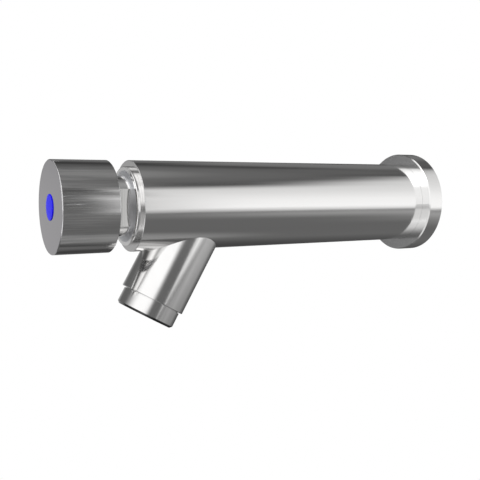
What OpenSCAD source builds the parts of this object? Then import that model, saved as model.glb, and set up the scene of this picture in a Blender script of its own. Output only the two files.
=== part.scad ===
// Wall mounted push tap that closes by itself after a set time.
// Origin: centre of the flange's wall face. The wall is the plane Y = 0, the tap
// stands out along -Y with its button at the far end, and its spout points down, -Z.

/* [Body] */
// Diameter of the body
body_d = 40; // [38.5:0.5:46]
// Distance from the wall to the body's front face
body_front = 160.9; // [150:0.1:200]
// Gap between the wall and the body's rear end
body_wall_gap = 1; // [0.5:0.25:2]
// Break on the body's outer edges
body_edge = 0.15; // [0.1:0.05:0.6]
// Diameter of the chamber that takes the timing cartridge
chamber_d = 32; // [31.6:0.1:33]
// Depth of the chamber from the front face
chamber_depth = 76.6; // [76:0.2:90]
// Diameter of the bore that feeds the chamber
supply_d = 15; // [14.5:0.25:15.75]

/* [Wall flange] */
// Width of the flange's ring outside the body
flange_w = 5.45; // [5:0.05:8]
// Thickness of the wall flange
flange_t = 8.5; // [8:0.1:12]
// Bevel round the flange's front edge
flange_bevel = 0.5; // [0.3:0.1:1]
// Width of the rubber gasket behind the flange
gasket_w = 2.8; // [2:0.1:3]
// Thickness of the rubber gasket
gasket_t = 1.5; // [1:0.1:2]
// Diameter of the flange's grub screw
grub_d = 4; // [3:0.5:4]
// Size across the flats of the grub screw's socket
grub_key = 2; // [1.5:0.1:2]

/* [Water inlet] */
// Outside diameter of the G 1/2 pipe thread
inlet_d = 20.955; // [20.8:0.005:21.1]
// Length of pipe thread that goes into the wall fitting
inlet_l = 14; // [12:0.5:24]
// Depth that the nipple screws into the body
socket_depth = 16; // [12:0.5:20]
// Diameter of the nipple's bore
inlet_bore_d = 14; // [13.9:0.05:14.5]
// Size across the flats of the nipple's hexagonal key bore
inlet_key = 12; // [11:0.5:12]
// Thickness of the gasket at the nipple's end
inlet_gasket_t = 1.2; // [1:0.1:2]
// Depth of the strainer's basket
strainer_l = 10; // [6:0.5:16]
// Number of slots round the strainer's basket
strainer_slots = 12; // [8:1:16]

/* [Spout] */
// Diameter of the spout
spout_d = 29.8; // [28.5:0.1:31]
// Angle between the spout and the vertical
spout_tilt = 29.3; // [20:0.1:32]
// Distance from the body's front face back to where the two axes cross
spout_back = 35; // [34:0.1:36]
// Distance from the body's axis to the spout's rim
spout_l = 48.6; // [48.6:0.2:70]
// Diameter of the waterway through the spout
spout_bore_d = 18; // [17:0.25:19]
// Diameter of the hole from the chamber into the spout
port_d = 14; // [12:0.5:16]

/* [Aerator] */
// Outside diameter of the aerator's housing
aerator_d = 27.2; // [26.5:0.1:28]
// Height of the housing that shows under the spout
aerator_h = 7.9; // [6:0.1:10]
// Diameter of the housing's thread
aerator_thread_d = 24; // [23.6:0.1:24.4]
// Length of the housing's thread
aerator_thread_l = 10; // [9:0.25:11]
// Bore of the housing, which the insert fills
aerator_bore_d = 21.2; // [21:0.1:21.4]
// Size across the flats of one cell of the insert
cell_w = 2; // [1.6:0.1:2.4]
// Thickness of the wall between two cells
cell_wall = 0.5; // [0.4:0.05:0.8]

/* [Bonnet] */
// Diameter of the bonnet's collar
collar_d = 34.6; // [34:0.1:36]
// Thickness of the bonnet's collar
collar_t = 2.2; // [2:0.1:4]
// Radius of the collar's front edge
collar_round = 0.4; // [0.2:0.1:0.8]
// Diameter at which the collar's face starts to rise as a cone
cone_d = 31; // [28:0.2:32]
// Height that the cone rises to, at the flats
cone_h = 1.2; // [0.6:0.05:2]
// Diameter of the bonnet's boss
boss_d = 26.4; // [25:0.1:27.6]
// Length of the bonnet's boss
boss_l = 13.1; // [12:0.1:18]
// Size across the boss's two spanner flats
spanner_w = 21; // [17:0.5:22]
// Length of the thread that holds the bonnet in the body
bonnet_thread_l = 10.6; // [9:0.2:10.6]

/* [Push knob] */
// Diameter of the push knob
knob_d = 39.8; // [38:0.1:46]
// Length of the push knob
knob_l = 24.1; // [22:0.1:30]
// Gap between the knob's bore and the bonnet's boss
knob_bore_gap = 0.7; // [0.5:0.1:2]
// Thickness of the knob's face
knob_face_t = 4; // [3.6:0.1:6]
// Bevel round the knob's edges
knob_bevel = 0.25; // [0.15:0.05:1]
// Gap between the knob and the bonnet's collar
knob_gap = 7.9; // [7.5:0.1:10]
// Diameter of the hub that takes the spindle
hub_d = 14; // [12.5:0.5:18]
// Travel of the knob
push_travel = 6.5; // [4:0.1:6.5]
// Diameter of the coloured disc in the knob's face
disc_d = 11; // [9:0.1:14]
// Depth of the disc's recess
disc_depth = 2; // [1.5:0.1:2.4]
// Height that the disc stands proud of the face
disc_proud = 0.5; // [0.4:0.1:1.2]
// Diameter of the knob's screw
knob_screw_d = 4; // [3:0.5:4]
// Length of the knob's screw under its head
knob_screw_l = 12; // [8:0.5:12]

/* [Timing cartridge] */
// Diameter of the spindle
stem_d = 8; // [7.5:0.1:8.2]
// Outside diameter of the cartridge's cage
cage_d = 28; // [27.8:0.1:28.4]
// Distance from the body's front face back to the valve seat
seat_depth = 43.1; // [42.5:0.1:44]
// Diameter of the hole through the valve seat
seat_bore_d = 13; // [12.4:0.1:13.6]
// Outside diameter of the timing cup
cup_d = 24.8; // [24.6:0.1:25]
// Thickness of the timing cup's wall
cup_wall = 1.4; // [1.2:0.1:1.6]
// Depth of the timing cup
cup_depth = 22; // [21:0.25:24]
// Thickness of the timing cup's end
cup_floor_t = 2.5; // [2:0.1:3]
// Number of windows in each row round the cage
window_count = 4; // [3:1:6]
// Diameter of the spring's wire
spring_wire_d = 1.3; // [1:0.05:1.3]
// Mean diameter of the spring's coil
spring_coil_d = 13.4; // [12.8:0.1:13.8]
// Number of turns of the spring
spring_turns = 7; // [5:1:7]

/* [Hidden] */
$fn = 96;

// Fits: running_fit is radial and lets a piece slide, seat_fit is radial between
// pieces that stay put, and touch is the gap left between two faces that meet.
running_fit = 0.05;
seat_fit = 0.05;
touch = 0.05;
cut = 1;

steel = [0.66, 0.66, 0.67];
dark_steel = [0.52, 0.52, 0.54];
brass = [0.78, 0.66, 0.36];
rubber = [0.12, 0.12, 0.13];
plastic = [0.88, 0.88, 0.86];
blue = [0.12, 0.12, 0.95];

body_r = body_d / 2;
chamber_r = chamber_d / 2;
stem_r = stem_d / 2;

// Places along the axis, as distances from the wall.
body_rear = body_wall_gap;
socket_floor = body_rear + socket_depth;
chamber_floor = body_front - chamber_depth;
collar_front = body_front + collar_t;
boss_front = collar_front + boss_l;
knob_rear = collar_front + knob_gap;
knob_front = knob_rear + knob_l;
stop_gap = 0.5;
hub_rear = boss_front + push_travel + stop_gap;
stem_socket = 4;
stem_front = hub_rear + stem_socket;
seat_at = body_front - seat_depth;
spout_at = body_front - spout_back;

// Bonnet and gland.
web_depth = 2.6;
web_rear = body_front - web_depth;
skirt_rear = body_front - bonnet_thread_l;
skirt_r = chamber_r - seat_fit;
gland_r = 6.5;
gland_depth = 6;
bush_l = 3;
wiper_r = 6;
wiper_l = 2.5;
groove_set = 0.2;
bonnet_groove_w = 2.2;
bonnet_groove_depth = 1.8;
bonnet_ring_d = 1.74;

// Cage, seat and cup.
cage_r = cage_d / 2;
cage_front = web_rear;
gland_washer_t = 1;
gland_washer_r = 12;
cage_bore_r = 11;
land_gap = 0.1;
land_r = chamber_r - land_gap;
land_l = 6.2;
land_rear = seat_at;
land_front = land_rear + land_l;
cage_ring_d = 2.3;
cage_groove_w = 2.8;
cup_r = cup_d / 2;
cup_bore_r = cup_r - cup_wall;
cup_gap = 5.5;
cup_front = seat_at - cup_gap;
cup_floor = cup_front - cup_depth;
cup_rear = cup_floor - cup_floor_t;
cup_grip = 14;
cage_rear = cup_front - cup_grip;
seat_step = 0.7;
seat_r = cup_r - seat_step;
seat_t = 3;
lip_h = 1;
seat_bore_r = seat_bore_d / 2;
lip_set = 0.9;
lip_r = seat_bore_r + lip_set;
lip_w = 1;
seat_front = seat_at + lip_h + seat_t;
inlet_window_l = 4;
inlet_window_set = 0.6;
outlet_window_l = 12;
outlet_window_set = 3.3;

// Moving valve.
washer_r = 9;
washer_t = 3.45;
washer_front = seat_at - touch;
washer_rear = washer_front - washer_t;
holder_wall = 1.2;
holder_r = washer_r + holder_wall;
holder_lip = 2;
piston_gap = 0.2;
piston_r = cup_bore_r - piston_gap;
piston_l = 13;
piston_shoulder = cup_front;
piston_rear = piston_shoulder - piston_l;
pocket_r = 7.9;
pocket_roof = 2;
pocket_floor = piston_shoulder - pocket_roof;
piston_boss_r = 4.6;
piston_boss_l = 7;
seal_set = 4;
seal_at = piston_rear + seal_set;
seal_w = 4;
seal_depth = 1.5;
seal_groove_r = piston_r - seal_depth;
rod_r = 2.5;
plate_gap = 0.9;
plate_r = seat_bore_r - plate_gap;
plate_t = 1.2;
plate_front = washer_front + plate_t;
rod_set = 1;
rod_rear = pocket_floor - piston_boss_l + rod_set;

// Knob.
knob_r = knob_d / 2;
cavity_floor = knob_front - knob_face_t;
screw_r = knob_screw_d / 2;
head_r = screw_r * 1.75;
head_h = 2.6;
head_set = 0.4;
head_seat = knob_front - disc_depth - head_h - head_set;
disc_r = disc_d / 2;

// Spout and aerator, as distances along the spout's axis from the body's axis.
spout_r = spout_d / 2;
aerator_r = aerator_d / 2;
thread_r = aerator_thread_d / 2;
insert_r = aerator_bore_d / 2;
thread_top = spout_l - aerator_thread_l;
washer2_t = 2;
spout_shoulder = thread_top - washer2_t - 2 * touch;
aerator_end = spout_l + aerator_h;
insert_lip = 0.8;
regulator_t = 4;
regulator_rim_t = 2.5;
regulator_top = thread_top + 0.2;
screen_t = 0.6;
screen_top = regulator_top + regulator_t + touch;
insert_top = screen_top + screen_t + touch;
insert_set = 1.5;
insert_end = aerator_end - insert_set;

// Draws what stands on Z so that its Z becomes the distance from the wall.
module from_wall() {
    rotate([90, 0, 0]) children();
}

// The same for the spout's axis, from where it crosses the body's.
module down_spout() {
    translate([0, -spout_at, 0]) rotate([180 - spout_tilt, 0, 0]) children();
}

// A turned ring or disc between two radii and two heights, with bevelled outer edges.
module ring(inner_r, outer_r, z0, z1, bevel0 = 0, bevel1 = 0) {
    rotate_extrude() polygon([
        [inner_r, z0], [outer_r - bevel0, z0], [outer_r, z0 + bevel0],
        [outer_r, z1 - bevel1], [outer_r - bevel1, z1], [inner_r, z1]
    ]);
}

// A bored cylinder to cut away.
module bore(r, z0, z1) {
    translate([0, 0, z0]) cylinder(r = r, h = z1 - z0);
}

// A ring of round section, held at z.
module o_ring(mean_r, section_d, z) {
    translate([0, 0, z]) rotate_extrude() translate([mean_r, 0]) circle(d = section_d, $fn = 32);
}

// A row of openings round a tube, each as wide as half its share of the circle.
module windows(count, inner_r, outer_r, z0, z1) {
    half = 90 / count * 1.1;
    reach = outer_r + cut;
    for (i = [0 : count - 1])
        rotate([0, 0, 360 / count * (i + 0.5)])
            translate([0, 0, z0])
                linear_extrude(z1 - z0)
                    difference() {
                        polygon([
                            [0, 0], [reach * cos(half) * 1.2, -reach * sin(half) * 1.2],
                            [reach * cos(half) * 1.2, reach * sin(half) * 1.2]
                        ]);
                        circle(r = inner_r - cut);
                    }
}

// Thick walled tube: socket for the nipple, supply bore, chamber and spout hole.
module body() {
    color(steel) difference() {
        from_wall() difference() {
            ring(0, body_r, body_rear, body_front, body_edge, body_edge);
            bore(inlet_d / 2 + seat_fit, body_rear - cut, socket_floor);
            bore(strainer_rim_r + seat_fit, socket_floor - cut, socket_floor + strainer_rim_t + touch);
            bore(supply_d / 2, socket_floor - cut, chamber_floor + cut);
            bore(chamber_r, chamber_floor, body_front + cut);
        }
        down_spout() bore(port_d / 2, chamber_r / 2, body_r + spout_r);
    }
}

// Short branch, cut to the body's curve and welded round the port.
module spout() {
    color(steel) difference() {
        down_spout() difference() {
            ring(0, spout_r, 0, spout_l, 0, 0.2);
            bore(spout_bore_d / 2, -cut, spout_shoulder + cut);
            bore(thread_r + seat_fit, spout_shoulder, spout_l + cut);
        }
        from_wall() bore(body_r, body_rear, body_front + body_r);
    }
}

// Cover ring that hides the hole in the wall, recessed behind for its gasket.
gasket_gap = 0.6;
gasket_in_r = body_r + gasket_gap;
flange_fit = 0.03;
flange_bore_r = body_r + flange_fit;
flange_r = body_r + flange_w;
grub_at = gasket_t + (flange_t - gasket_t) / 2;
module wall_flange() {
    color(steel) difference() {
        from_wall() difference() {
            ring(flange_bore_r, flange_r, 0, flange_t, 0.2, flange_bevel);
            bore(gasket_in_r + gasket_w + 2 * flange_fit, -cut, gasket_t);
        }
        translate([0, -grub_at, -flange_r - cut]) cylinder(d = grub_d + 2 * seat_fit, h = flange_r + cut - body_r);
    }
}

module wall_gasket() {
    color(rubber) from_wall() ring(gasket_in_r, gasket_in_r + gasket_w, 0, gasket_t - touch);
}

// Grub screw under the flange, whose point bears on the body.
grub_set = 0.6;
grub_l = flange_r - flange_bore_r - grub_set;
module flange_grub_screw() {
    color(dark_steel) translate([0, -grub_at, -body_r - touch - grub_l]) difference() {
        rotate_extrude() polygon([
            [0, 0], [grub_d / 2 - 0.3, 0], [grub_d / 2, 0.3],
            [grub_d / 2, grub_l - 0.8], [grub_d / 2 - 0.8, grub_l], [0, grub_l]
        ]);
        translate([0, 0, -cut]) cylinder(d = grub_key / cos(30), h = cut + grub_l * 0.45, $fn = 6);
    }
}

// Threaded tube: its rear half goes into the wall, its front half into the body.
nipple_front = socket_floor - inlet_gasket_t - 2 * touch;
relief_l = 2.5;
relief_depth = 1;
key_depth = 8;
key_rear = nipple_front - key_depth;
module inlet_nipple() {
    r = inlet_d / 2;
    color(steel) from_wall() difference() {
        rotate_extrude() polygon([
            [0, -inlet_l], [r - 1, -inlet_l], [r, -inlet_l + 1], [r, 0], [r - relief_depth, 0],
            [r - relief_depth, relief_l], [r - 0.01, relief_l], [r - 0.01, nipple_front - 0.8],
            [r - 0.8, nipple_front], [0, nipple_front]
        ]);
        bore(inlet_bore_d / 2, -inlet_l - cut, key_rear);
        translate([0, 0, key_rear - cut]) cylinder(d = inlet_key / cos(30), h = nipple_front, $fn = 6);
    }
}

module inlet_gasket() {
    color(rubber) from_wall()
        ring(inlet_bore_d / 2 + 0.4, inlet_d / 2 - 0.2, nipple_front + touch, socket_floor - touch);
}

// Slotted basket that keeps grit out of the timing cartridge.
strainer_rim_t = 0.8;
strainer_rim_w = 1;
strainer_rim_r = supply_d / 2 + strainer_rim_w;
strainer_gap = 0.5;
strainer_r = supply_d / 2 - strainer_gap;
strainer_wall = 0.6;
strainer_slot_w = 1.2;
strainer_slot_set = 2;
module inlet_strainer() {
    tip = socket_floor + strainer_l;
    color(brass) from_wall() difference() {
        union() {
            ring(strainer_r - strainer_wall, strainer_rim_r, socket_floor, socket_floor + strainer_rim_t);
            ring(strainer_r - strainer_wall, strainer_r, socket_floor, tip);
            ring(0, strainer_r, tip - strainer_wall, tip);
        }
        for (i = [0 : strainer_slots - 1])
            rotate([0, 0, 360 / strainer_slots * i])
                translate([strainer_r - strainer_wall - 0.4, -strainer_slot_w / 2, socket_floor + strainer_slot_set])
                    cube([strainer_wall + cut, strainer_slot_w, strainer_l - 2 * strainer_slot_set]);
        for (i = [0 : 5])
            rotate([0, 0, 60 * i])
                translate([strainer_r / 2, 0, tip - cut])
                    cylinder(d = 1.6, h = 2 * cut, $fn = 24);
    }
}

// Threaded ring that screws up into the spout and holds the insert on its inner lip.
module aerator_housing() {
    neck = 0.4;
    color(steel) down_spout() difference() {
        rotate_extrude() polygon([
            [0, thread_top], [thread_r - 0.6, thread_top], [thread_r, thread_top + 0.6],
            [thread_r, spout_l], [thread_r + 0.9, spout_l], [thread_r + 0.9, spout_l + neck],
            [aerator_r, spout_l + neck], [aerator_r, aerator_end - 1],
            [aerator_r - 1, aerator_end], [0, aerator_end]
        ]);
        bore(insert_r, thread_top - cut, insert_end + touch);
        bore(insert_r - insert_lip, thread_top, aerator_end + cut);
    }
}

// Honeycomb that straightens the stream.
module aerator_insert() {
    pitch = cell_w + cell_wall;
    rim = 1;
    limit = insert_r - seat_fit - rim - cell_w / 2 / cos(30);
    rows = floor(limit / (pitch * cos(30)));
    color(plastic) down_spout() difference() {
        ring(0, insert_r - seat_fit, insert_top, insert_end, 0.3, 0);
        for (row = [-rows : rows])
            for (col = [-rows - 1 : rows + 1]) {
                x = (col + (row % 2 == 0 ? 0 : 0.5)) * pitch;
                y = row * pitch * cos(30);
                if (norm([x, y]) < limit)
                    translate([x, y, insert_top - cut])
                        rotate([0, 0, 30]) cylinder(d = cell_w / cos(30), h = insert_end - insert_top + 2 * cut, $fn = 6);
            }
    }
}

// Fine screen over the insert, with a ring of slots.
module aerator_screen() {
    color(steel) down_spout() difference() {
        ring(0, insert_r - seat_fit, screen_top, screen_top + screen_t);
        for (i = [0 : 11])
            rotate([0, 0, 30 * i])
                translate([insert_r * 0.3, -0.5, screen_top - cut])
                    cube([insert_r * 0.5, 1, screen_t + 2 * cut]);
    }
}

// Disc with a ring of jets that keeps the flow steady.
module flow_regulator() {
    step = regulator_top + regulator_t - regulator_rim_t;
    color(plastic) down_spout() difference() {
        union() {
            ring(0, insert_r - seat_fit, step, regulator_top + regulator_t);
            ring(0, insert_r - 2, regulator_top, step, 0.4, 0);
        }
        for (i = [0 : 7])
            rotate([0, 0, 45 * i])
                translate([insert_r * 0.55, 0, regulator_top - cut])
                    cylinder(d = 2, h = regulator_t + 2 * cut, $fn = 24);
    }
}

module aerator_washer() {
    color(rubber) down_spout()
        ring(spout_bore_d / 2 + 0.2, thread_r - 0.1, spout_shoulder + touch, spout_shoulder + touch + washer2_t);
}

// Turned bonnet: threaded skirt, collar on the body's face, boss with two flats.
module bonnet() {
    flat_x = spanner_w / 2;
    groove_rear = web_rear + groove_set;
    groove_r = skirt_r - bonnet_groove_depth;
    steps = 8;
    color(steel) from_wall() difference() {
        union() {
            rotate_extrude() polygon(concat(
                [
                    [0, skirt_rear], [skirt_r - 0.5, skirt_rear], [skirt_r, skirt_rear + 0.5],
                    [skirt_r, groove_rear], [groove_r, groove_rear],
                    [groove_r, groove_rear + bonnet_groove_w], [skirt_r, groove_rear + bonnet_groove_w],
                    [skirt_r, body_front], [collar_d / 2, body_front]
                ],
                [for (i = [0 : steps]) [
                    collar_d / 2 - collar_round * (1 - cos(90 * i / steps)),
                    collar_front - collar_round * (1 - sin(90 * i / steps))
                ]],
                [[cone_d / 2, collar_front], [flat_x, collar_front + cone_h], [0, collar_front + cone_h]]
            ));
            intersection() {
                ring(0, boss_d / 2, collar_front - 1, boss_front, 0, 0.5);
                translate([-flat_x, -boss_d, 0]) cube([spanner_w, 2 * boss_d, boss_front + cut]);
            }
        }
        bore(cage_r + seat_fit, skirt_rear - cut, web_rear);
        bore(gland_r, web_rear - cut, web_rear + gland_depth);
        bore(stem_r + running_fit, web_rear, boss_front + cut);
        bore(wiper_r + seat_fit, boss_front - wiper_l, boss_front + cut);
    }
}

module bonnet_o_ring() {
    color(rubber) from_wall()
        o_ring(skirt_r - bonnet_ring_d / 2, bonnet_ring_d, web_rear + groove_set + bonnet_groove_w / 2);
}

// Wiper with a lip that keeps the spindle clean, in the boss's mouth.
module stem_wiper() {
    inner = stem_r + running_fit;
    z0 = boss_front - wiper_l + touch;
    color(rubber) from_wall() rotate_extrude() polygon([
        [inner + 0.8, z0], [wiper_r, z0], [wiper_r, boss_front - 0.3], [wiper_r - 0.5, boss_front],
        [inner, boss_front], [inner, boss_front - 0.5], [inner + 0.8, boss_front - 1]
    ]);
}

module stem_o_ring() {
    section = gland_r - stem_r - 2 * running_fit;
    color(rubber) from_wall()
        o_ring(stem_r + running_fit + section / 2, section, web_rear + bush_l + touch + section / 2);
}

module stem_bush() {
    color(plastic) from_wall()
        ring(stem_r + running_fit, gland_r - seat_fit, web_rear + touch, web_rear + bush_l);
}

// Steel washer that the cage clamps against the bonnet to keep the bush in.
module gland_washer() {
    color(dark_steel) from_wall()
        ring(stem_r + 0.4, gland_washer_r - seat_fit, cage_front - gland_washer_t + touch, cage_front - touch);
}

// Cage of the cartridge: carries the seat, the cup and the ring that parts the
// inlet side from the outlet side, with a row of windows on each side of it.
module cartridge_cage() {
    groove = land_rear + (land_l - cage_groove_w) / 2;
    groove_r = chamber_r - cage_ring_d - land_gap;
    inlet_at = cup_front + inlet_window_set;
    outlet_at = land_front + outlet_window_set;
    color(brass) from_wall() difference() {
        rotate_extrude() polygon([
            [0, cage_rear], [cage_r - 0.5, cage_rear], [cage_r, cage_rear + 0.5],
            [cage_r, land_rear], [land_r, land_rear], [land_r, groove],
            [groove_r, groove], [groove_r, groove + cage_groove_w],
            [land_r, groove + cage_groove_w], [land_r, land_front], [cage_r, land_front],
            [cage_r, cage_front - 0.3], [cage_r - 0.3, cage_front], [0, cage_front]
        ]);
        bore(cup_r + seat_fit, cage_rear - cut, cup_front);
        bore(seat_r + seat_fit, cup_front - cut, seat_front + touch);
        bore(seat_bore_r + 2, seat_front, land_front + 2 * cut);
        bore(cage_bore_r, land_front + 0.5, cage_front);
        bore(gland_washer_r, cage_front - gland_washer_t, cage_front + cut);
        windows(window_count, seat_r, cage_r, inlet_at, inlet_at + inlet_window_l);
        windows(window_count, cage_bore_r, cage_r, outlet_at, outlet_at + outlet_window_l);
    }
}

module cage_o_ring() {
    color(rubber) from_wall()
        o_ring(chamber_r - seat_fit - cage_ring_d / 2, cage_ring_d, land_rear + land_l / 2);
}

// Seat insert with a raised lip that faces the supply side.
module valve_seat() {
    base = seat_at + lip_h;
    color(steel) from_wall() rotate_extrude() polygon([
        [seat_bore_r, seat_front], [seat_bore_r, base - 0.2], [lip_r, seat_at + 0.3], [lip_r + 0.3, seat_at],
        [lip_r + lip_w - 0.3, seat_at], [lip_r + lip_w, seat_at + 0.3], [lip_r + lip_w + 0.4, base],
        [seat_r, base], [seat_r, seat_front]
    ]);
}

// Cup in which the piston draws water slowly, so that the tap closes late.
jet_r = 2.5;
centring_gap = 0.4;
centring_r = spring_coil_d / 2 - spring_wire_d / 2 - centring_gap;
centring_h = 1.5;
module timing_cup() {
    color(plastic) from_wall() difference() {
        ring(0, cup_r, cup_rear, cup_front, 0.8, 0.3);
        difference() {
            bore(cup_bore_r, cup_floor, cup_front + cut);
            bore(centring_r, cup_floor - cut, cup_floor + centring_h);
        }
        bore(jet_r + seat_fit, cup_rear - cut, cup_floor + centring_h + cut);
    }
}

// Pressed in jet whose fine hole sets the closing time.
module timing_jet() {
    color(brass) from_wall() difference() {
        ring(0, jet_r, cup_rear, cup_floor + centring_h, 0.4, 0.2);
        bore(0.3, cup_rear - cut, cup_floor + centring_h + cut);
        bore(1.2, cup_rear - cut, cup_floor);
    }
}

// Spring wound from one wire, its two end turns drawn close.
spring_rear = cup_floor + touch;
spring_front = pocket_floor - touch;
spring_steps = 12;
spring_sides = 8;
spring_total = spring_turns * spring_steps;
spring_end_gap = 0.45;
spring_end_pitch = spring_wire_d + spring_end_gap;
spring_run = spring_front - spring_rear - spring_wire_d;
spring_mid_pitch = (spring_run - 2 * spring_end_pitch) / (spring_turns - 2);
function spring_height(turn) =
    turn < 1 ? turn * spring_end_pitch :
    turn < spring_turns - 1 ? spring_end_pitch + (turn - 1) * spring_mid_pitch :
    spring_end_pitch + (spring_turns - 2) * spring_mid_pitch + (turn - spring_turns + 1) * spring_end_pitch;
function spring_point(i) = let (turn = i / spring_steps, a = 360 * turn)
    [spring_coil_d / 2 * cos(a), spring_coil_d / 2 * sin(a), spring_rear + spring_wire_d / 2 + spring_height(turn)];
function spring_ring(i) = let (a = 360 * i / spring_steps, p = spring_point(i))
    [for (k = [0 : spring_sides - 1])
        let (b = 360 * k / spring_sides, out = spring_wire_d / 2 * cos(b), up = spring_wire_d / 2 * sin(b))
        [p[0] + out * cos(a), p[1] + out * sin(a), p[2] + up]];
spring_self_gap = min([for (i = [0 : spring_total - spring_steps])
    norm(spring_point(i + spring_steps) - spring_point(i)) - spring_wire_d]);
echo(spring_self_gap = spring_self_gap);
module return_spring() {
    points = [for (i = [0 : spring_total]) each spring_ring(i)];
    sides = [for (i = [0 : spring_total - 1]) for (k = [0 : spring_sides - 1])
        let (a = i * spring_sides + k, b = i * spring_sides + (k + 1) % spring_sides)
        each [[a, b, b + spring_sides], [a, b + spring_sides, a + spring_sides]]];
    last = spring_total * spring_sides;
    caps = [for (k = [1 : spring_sides - 2])
        each [[0, k + 1, k], [last, last + k, last + k + 1]]];
    color(dark_steel) from_wall() polyhedron(points = points, faces = concat(sides, caps));
}

// Piston: pocket for the spring, groove for the lip seal, cup for the valve washer.
module piston() {
    top = washer_rear;
    color(plastic) from_wall() difference() {
        rotate_extrude() polygon([
            [0, piston_rear], [piston_r - 0.4, piston_rear], [piston_r, piston_rear + 0.4],
            [piston_r, seal_at], [seal_groove_r, seal_at], [seal_groove_r, seal_at + seal_w],
            [piston_r, seal_at + seal_w], [piston_r, piston_shoulder - 1],
            [holder_r, piston_shoulder], [holder_r, top + holder_lip], [washer_r + seat_fit, top + holder_lip],
            [washer_r + seat_fit, top], [0, top]
        ]);
        difference() {
            bore(pocket_r, piston_rear - cut, pocket_floor);
            bore(piston_boss_r, pocket_floor - piston_boss_l, pocket_floor + cut);
        }
        bore(rod_r + seat_fit, piston_rear, top + cut);
    }
}

// Lip seal with its hollow towards the cup, so that it lets water out but not in.
module piston_lip_seal() {
    r0 = seal_groove_r + seat_fit;
    r1 = cup_bore_r - running_fit;
    z0 = seal_at + touch;
    z1 = seal_at + seal_w - touch;
    mid = (r0 + r1) / 2;
    color(rubber) from_wall() rotate_extrude() polygon([
        [r0, z0], [r0 + 0.35, z0], [mid, z0 + 2], [r1 - 0.3, z0], [r1, z0 + 0.3],
        [r1 - 0.2, z1 - 0.6], [r1 - 0.5, z1], [r0, z1]
    ]);
}

module valve_washer() {
    color(rubber) from_wall() ring(rod_r + seat_fit, washer_r, washer_rear + touch, washer_front, 0, 0.2);
}

module washer_plate() {
    color(steel) from_wall() ring(rod_r + seat_fit, plate_r, washer_front + touch, plate_front, 0, 0.3);
}

// Spindle: pushes the valve off its seat, tapped at the front for the knob's screw.
module spindle() {
    color(steel) from_wall() difference() {
        rotate_extrude() polygon([
            [0, rod_rear], [rod_r - 0.4, rod_rear], [rod_r, rod_rear + 0.4], [rod_r, plate_front + touch],
            [stem_r - 0.3, plate_front + touch], [stem_r, plate_front + touch + 0.3],
            [stem_r, stem_front - 0.5], [stem_r - 0.5, stem_front], [0, stem_front]
        ]);
        bore(screw_r + seat_fit, head_seat - knob_screw_l - 1, stem_front + cut);
    }
}

// Bored knob: skirt that slides over the boss, hub on the spindle, recessed face.
module push_knob() {
    cavity_r = boss_d / 2 + knob_bore_gap;
    fillet = 1;
    color(dark_steel) from_wall() difference() {
        ring(0, knob_r, knob_rear, knob_front, knob_bevel, knob_bevel);
        difference() {
            rotate_extrude() polygon([
                [0, knob_rear - cut], [cavity_r, knob_rear - cut], [cavity_r, cavity_floor - fillet],
                [cavity_r - fillet, cavity_floor], [0, cavity_floor]
            ]);
            ring(0, hub_d / 2, hub_rear, knob_front, 0.4, 0);
        }
        bore(stem_r + seat_fit / 2, hub_rear - cut, stem_front + touch);
        bore(screw_r + 0.2, hub_rear, knob_front);
        bore(head_r + 0.15, head_seat, knob_front + cut);
        bore(disc_r + seat_fit, knob_front - disc_depth, knob_front + cut);
    }
}

module knob_screw() {
    color(dark_steel) from_wall() difference() {
        union() {
            ring(0, head_r, head_seat + touch, head_seat + head_h, 0, 0.3);
            ring(0, screw_r, head_seat - knob_screw_l, head_seat + 1, 0.5, 0);
        }
        translate([0, 0, head_seat + head_h - 1.6]) cylinder(d = screw_r * 1.25 / cos(30), h = 1.6 + cut, $fn = 6);
    }
}

// Coloured disc pressed in the knob's face, slightly domed.
module indicator_disc() {
    rear = knob_front - disc_depth + touch;
    rim = knob_front + disc_proud * 0.5;
    dome = disc_proud * 0.5;
    steps = 8;
    color(blue) from_wall() rotate_extrude() polygon(concat(
        [[0, rear], [disc_r, rear], [disc_r, rim]],
        [for (i = [1 : steps]) [disc_r * cos(90 * i / steps), rim + dome * sin(90 * i / steps)]]
    ));
}

body();
spout();
wall_flange();
wall_gasket();
flange_grub_screw();
inlet_nipple();
inlet_gasket();
inlet_strainer();
aerator_housing();
aerator_insert();
aerator_screen();
flow_regulator();
aerator_washer();
bonnet();
bonnet_o_ring();
stem_wiper();
stem_o_ring();
stem_bush();
gland_washer();
cartridge_cage();
cage_o_ring();
valve_seat();
timing_cup();
timing_jet();
return_spring();
piston();
piston_lip_seal();
valve_washer();
washer_plate();
spindle();
push_knob();
knob_screw();
indicator_disc();
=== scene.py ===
import math

import bmesh
import bpy
import numpy as np
from mathutils import Matrix, Vector


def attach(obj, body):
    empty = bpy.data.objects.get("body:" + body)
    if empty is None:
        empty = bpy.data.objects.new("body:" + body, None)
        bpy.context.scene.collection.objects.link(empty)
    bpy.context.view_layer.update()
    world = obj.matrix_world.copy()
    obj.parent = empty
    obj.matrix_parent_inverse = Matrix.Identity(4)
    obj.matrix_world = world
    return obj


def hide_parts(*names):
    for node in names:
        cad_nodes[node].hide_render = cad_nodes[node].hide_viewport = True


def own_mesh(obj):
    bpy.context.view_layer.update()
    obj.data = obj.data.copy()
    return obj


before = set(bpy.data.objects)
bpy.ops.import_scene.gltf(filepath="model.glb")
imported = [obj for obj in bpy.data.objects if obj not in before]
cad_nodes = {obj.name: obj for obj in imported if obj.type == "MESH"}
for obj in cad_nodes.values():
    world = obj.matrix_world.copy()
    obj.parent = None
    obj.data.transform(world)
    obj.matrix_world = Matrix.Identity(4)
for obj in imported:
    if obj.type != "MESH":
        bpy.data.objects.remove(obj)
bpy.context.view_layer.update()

MM = 0.001

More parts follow.
